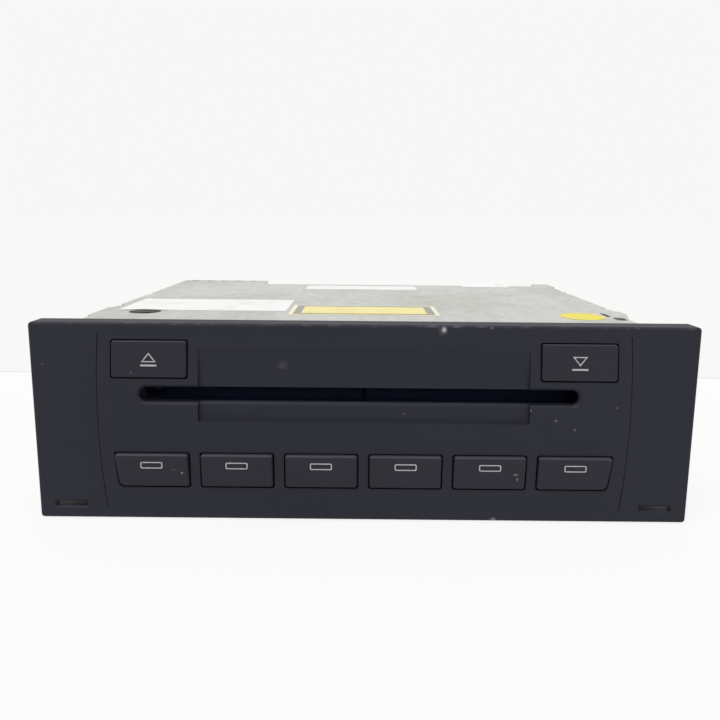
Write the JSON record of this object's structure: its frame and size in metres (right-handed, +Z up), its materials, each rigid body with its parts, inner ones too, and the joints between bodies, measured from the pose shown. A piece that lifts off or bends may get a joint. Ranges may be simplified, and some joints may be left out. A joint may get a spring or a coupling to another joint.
{
  "type": "car cd changer",
  "caption": "Slot-loading CD changer for a dashboard opening: keyed plastic fascia on a galvanised steel chassis with disc trays, loader and swinging playback deck inside.",
  "frame": {"origin": "middle of the bounding box on the plane of the fascia's lower edge", "axes": "+X to the right across the face, +Y from the face to the back, +Z up; the face looks to -Y"},
  "size_m": [0.1924, 0.1703, 0.0565],
  "materials": {
    "fascia_plastic": "fine matt charcoal",
    "key_plastic": "matt charcoal, slightly blue",
    "galvanised_steel": "galvanised sheet",
    "board_green": "solder mask",
    "black_parts": "moulded black",
    "chip_black": "moulded",
    "tray_plastic": "moulded grey",
    "felt_black": "felt",
    "screw_steel": "zinc plated",
    "spring_steel": "spring steel",
    "motor_steel": "plated can",
    "brass": "turned",
    "gear_plastic": "natural acetal",
    "roller_rubber": "rubber",
    "led_clear": "clear moulded",
    "lens_module": "moulded",
    "capacitor_sleeve": "sleeved can",
    "tin_pins": "tin plated"
  },
  "bodies": {
    "chassis": {"front_fascia": "fascia_plastic", "key_board": "board_green", "board_screws": "screw_steel", "tact_switches": "black_parts", "indicator_leds": "led_clear", "slot_felts": "felt_black", "side_panel_left": "galvanised_steel", "side_panel_right": "galvanised_steel", "front_panel": "galvanised_steel", "rear_panel": "galvanised_steel", "top_cover": "galvanised_steel", "bottom_cover": "galvanised_steel", "cover_screws": "screw_steel", "latch_feet": "spring_steel", "harness_socket": "black_parts", "connector_pins": "tin_pins", "rear_support_pin": "screw_steel", "fixed_trays": "tray_plastic", "tray_posts": "screw_steel", "tray_spacers": "gear_plastic", "cam_studs": "screw_steel", "lift_motor": "motor_steel", "loader_bracket": "galvanised_steel", "shaft_bushes": "brass", "loading_motor": "motor_steel", "deck_post": "screw_steel", "main_board": "board_green", "board_chips": "chip_black", "board_capacitors": "capacitor_sleeve"},
    "latch_left": {"latch_left": "spring_steel"},
    "latch_right": {"latch_right": "spring_steel"},
    "tray_carrier": {"lifting_trays": "tray_plastic", "lift_brackets": "galvanised_steel"},
    "cam_left": {"cam_plate_left": "galvanised_steel"},
    "cam_right": {"cam_plate_right": "galvanised_steel"},
    "cross_shaft": {"cross_shaft": "screw_steel", "cross_pinions": "gear_plastic"},
    "lift_pinion": {"lift_pinion": "gear_plastic"},
    "roller": {"roller_shaft": "screw_steel", "roller_rubbers": "roller_rubber", "roller_gear": "gear_plastic"},
    "idler": {"idler_gear": "gear_plastic"},
    "motor_pinion": {"motor_pinion": "gear_plastic"},
    "deck": {"deck_arm": "galvanised_steel", "spindle_motor": "motor_steel", "guide_rod": "screw_steel", "sled_motor": "motor_steel"},
    "turntable": {"turntable": "black_parts"},
    "clamp": {"clamp_arm": "spring_steel"},
    "puck": {"clamp_puck": "black_parts"},
    "sled": {"pickup_sled": "lens_module"},
    "lead_screw": {"lead_screw": "screw_steel"},
    "disc_key_1": {"disc_key_1": "key_plastic"},
    "disc_key_2": {"disc_key_2": "key_plastic"},
    "disc_key_3": {"disc_key_3": "key_plastic"},
    "disc_key_4": {"disc_key_4": "key_plastic"},
    "disc_key_5": {"disc_key_5": "key_plastic"},
    "disc_key_6": {"disc_key_6": "key_plastic"},
    "eject_key": {"eject_key": "key_plastic"},
    "load_key": {"load_key": "key_plastic"}
  },
  "joints": [
    {"name": "disc_key_1_press", "type": "slide", "parent": "chassis", "child": "disc_key_1", "axis": [0, 1, 0], "range_m": [0, 0.0008], "stiffness_N_per_m": 1500, "springref_m": -0.0003},
    {"name": "disc_key_2_press", "type": "slide", "parent": "chassis", "child": "disc_key_2", "axis": [0, 1, 0], "range_m": [0, 0.0008], "stiffness_N_per_m": 1500, "springref_m": -0.0003},
    {"name": "disc_key_3_press", "type": "slide", "parent": "chassis", "child": "disc_key_3", "axis": [0, 1, 0], "range_m": [0, 0.0008], "stiffness_N_per_m": 1500, "springref_m": -0.0003},
    {"name": "disc_key_4_press", "type": "slide", "parent": "chassis", "child": "disc_key_4", "axis": [0, 1, 0], "range_m": [0, 0.0008], "stiffness_N_per_m": 1500, "springref_m": -0.0003},
    {"name": "disc_key_5_press", "type": "slide", "parent": "chassis", "child": "disc_key_5", "axis": [0, 1, 0], "range_m": [0, 0.0008], "stiffness_N_per_m": 1500, "springref_m": -0.0003},
    {"name": "disc_key_6_press", "type": "slide", "parent": "chassis", "child": "disc_key_6", "axis": [0, 1, 0], "range_m": [0, 0.0008], "stiffness_N_per_m": 1500, "springref_m": -0.0003},
    {"name": "eject_key_press", "type": "slide", "parent": "chassis", "child": "eject_key", "axis": [0, 1, 0], "range_m": [0, 0.0008], "stiffness_N_per_m": 1500, "springref_m": -0.0003},
    {"name": "load_key_press", "type": "slide", "parent": "chassis", "child": "load_key", "axis": [0, 1, 0], "range_m": [0, 0.0008], "stiffness_N_per_m": 1500, "springref_m": -0.0003},
    {"name": "latch_left_flex", "type": "hinge", "parent": "chassis", "child": "latch_left", "pos_m": [-0.08945, -0.0181, 0.024], "axis": [0, 0, 1], "range_deg": [0, 3.4], "stiffness_Nm_per_rad": 0.6, "springref_deg": -1.72},
    {"name": "latch_right_flex", "type": "hinge", "parent": "chassis", "child": "latch_right", "pos_m": [0.08945, -0.0181, 0.024], "axis": [0, 0, -1], "range_deg": [0, 3.4], "stiffness_Nm_per_rad": 0.6, "springref_deg": -1.72},
    {"name": "tray_lift", "type": "slide", "parent": "chassis", "child": "tray_carrier", "axis": [0, 0, 1], "range_m": [0, 0.005]},
    {"name": "cam_left_slide", "type": "slide", "parent": "chassis", "child": "cam_left", "axis": [0, 1, 0], "range_m": [0, 0.005]},
    {"name": "cam_right_slide", "type": "slide", "parent": "chassis", "child": "cam_right", "axis": [0, 1, 0], "range_m": [0, 0.005]},
    {"name": "cross_shaft_turn", "type": "hinge", "parent": "chassis", "child": "cross_shaft", "pos_m": [0, -0.0607, 0.045], "axis": [1, 0, 0], "range_deg": [0, 58.6]},
    {"name": "lift_pinion_turn", "type": "hinge", "parent": "chassis", "child": "lift_pinion", "pos_m": [-0.086, 0.0735, 0.0361], "axis": [-1, 0, 0], "range_deg": [0, 58.6]},
    {"name": "roller_spin", "type": "hinge", "parent": "chassis", "child": "roller", "pos_m": [0, -0.0615, 0.0312], "axis": [1, 0, 0], "continuous": true},
    {"name": "idler_spin", "type": "hinge", "parent": "chassis", "child": "idler", "pos_m": [0.075, -0.05849, 0.02114], "axis": [1, 0, 0], "continuous": true},
    {"name": "motor_pinion_spin", "type": "hinge", "parent": "chassis", "child": "motor_pinion", "pos_m": [0.075, -0.0625, 0.0122], "axis": [1, 0, 0], "continuous": true},
    {"name": "deck_swing", "type": "hinge", "parent": "chassis", "child": "deck", "pos_m": [-0.074, 0.054, 0.025], "axis": [0, 0, 1], "range_deg": [0, 55.95]},
    {"name": "turntable_spin", "type": "hinge", "parent": "deck", "child": "turntable", "pos_m": [-0.074, -0.03531, 0.034], "axis": [0, 0, 1], "continuous": true},
    {"name": "clamp_raise", "type": "hinge", "parent": "deck", "child": "clamp", "pos_m": [-0.074, 0.054, 0.0386], "axis": [-1, 0, 0], "range_deg": [0, 2.5], "stiffness_Nm_per_rad": 0.5, "springref_deg": -3.44},
    {"name": "puck_spin", "type": "hinge", "parent": "clamp", "child": "puck", "pos_m": [-0.074, -0.03531, 0.038], "axis": [0, 0, 1], "continuous": true},
    {"name": "sled_travel", "type": "slide", "parent": "deck", "child": "sled", "axis": [0, 1, 0], "range_m": [0, 0.036]},
    {"name": "lead_screw_turn", "type": "hinge", "parent": "deck", "child": "lead_screw", "pos_m": [-0.0666, 0.006, 0.029], "axis": [0, 1, 0], "range_deg": [0, 4320.5]}
  ],
  "couplings": [
    {"joint": "cam_left_slide", "follows": "tray_lift", "ratio": 1},
    {"joint": "cam_right_slide", "follows": "tray_lift", "ratio": 1},
    {"joint": "cross_shaft_turn", "follows": "tray_lift", "rad_per_m": 204.08},
    {"joint": "lift_pinion_turn", "follows": "tray_lift", "rad_per_m": 204.08},
    {"joint": "idler_spin", "follows": "roller_spin", "ratio": -1.1429},
    {"joint": "motor_pinion_spin", "follows": "roller_spin", "ratio": 1.1429},
    {"joint": "lead_screw_turn", "follows": "sled_travel", "rad_per_m": 2094.4}
  ]
}
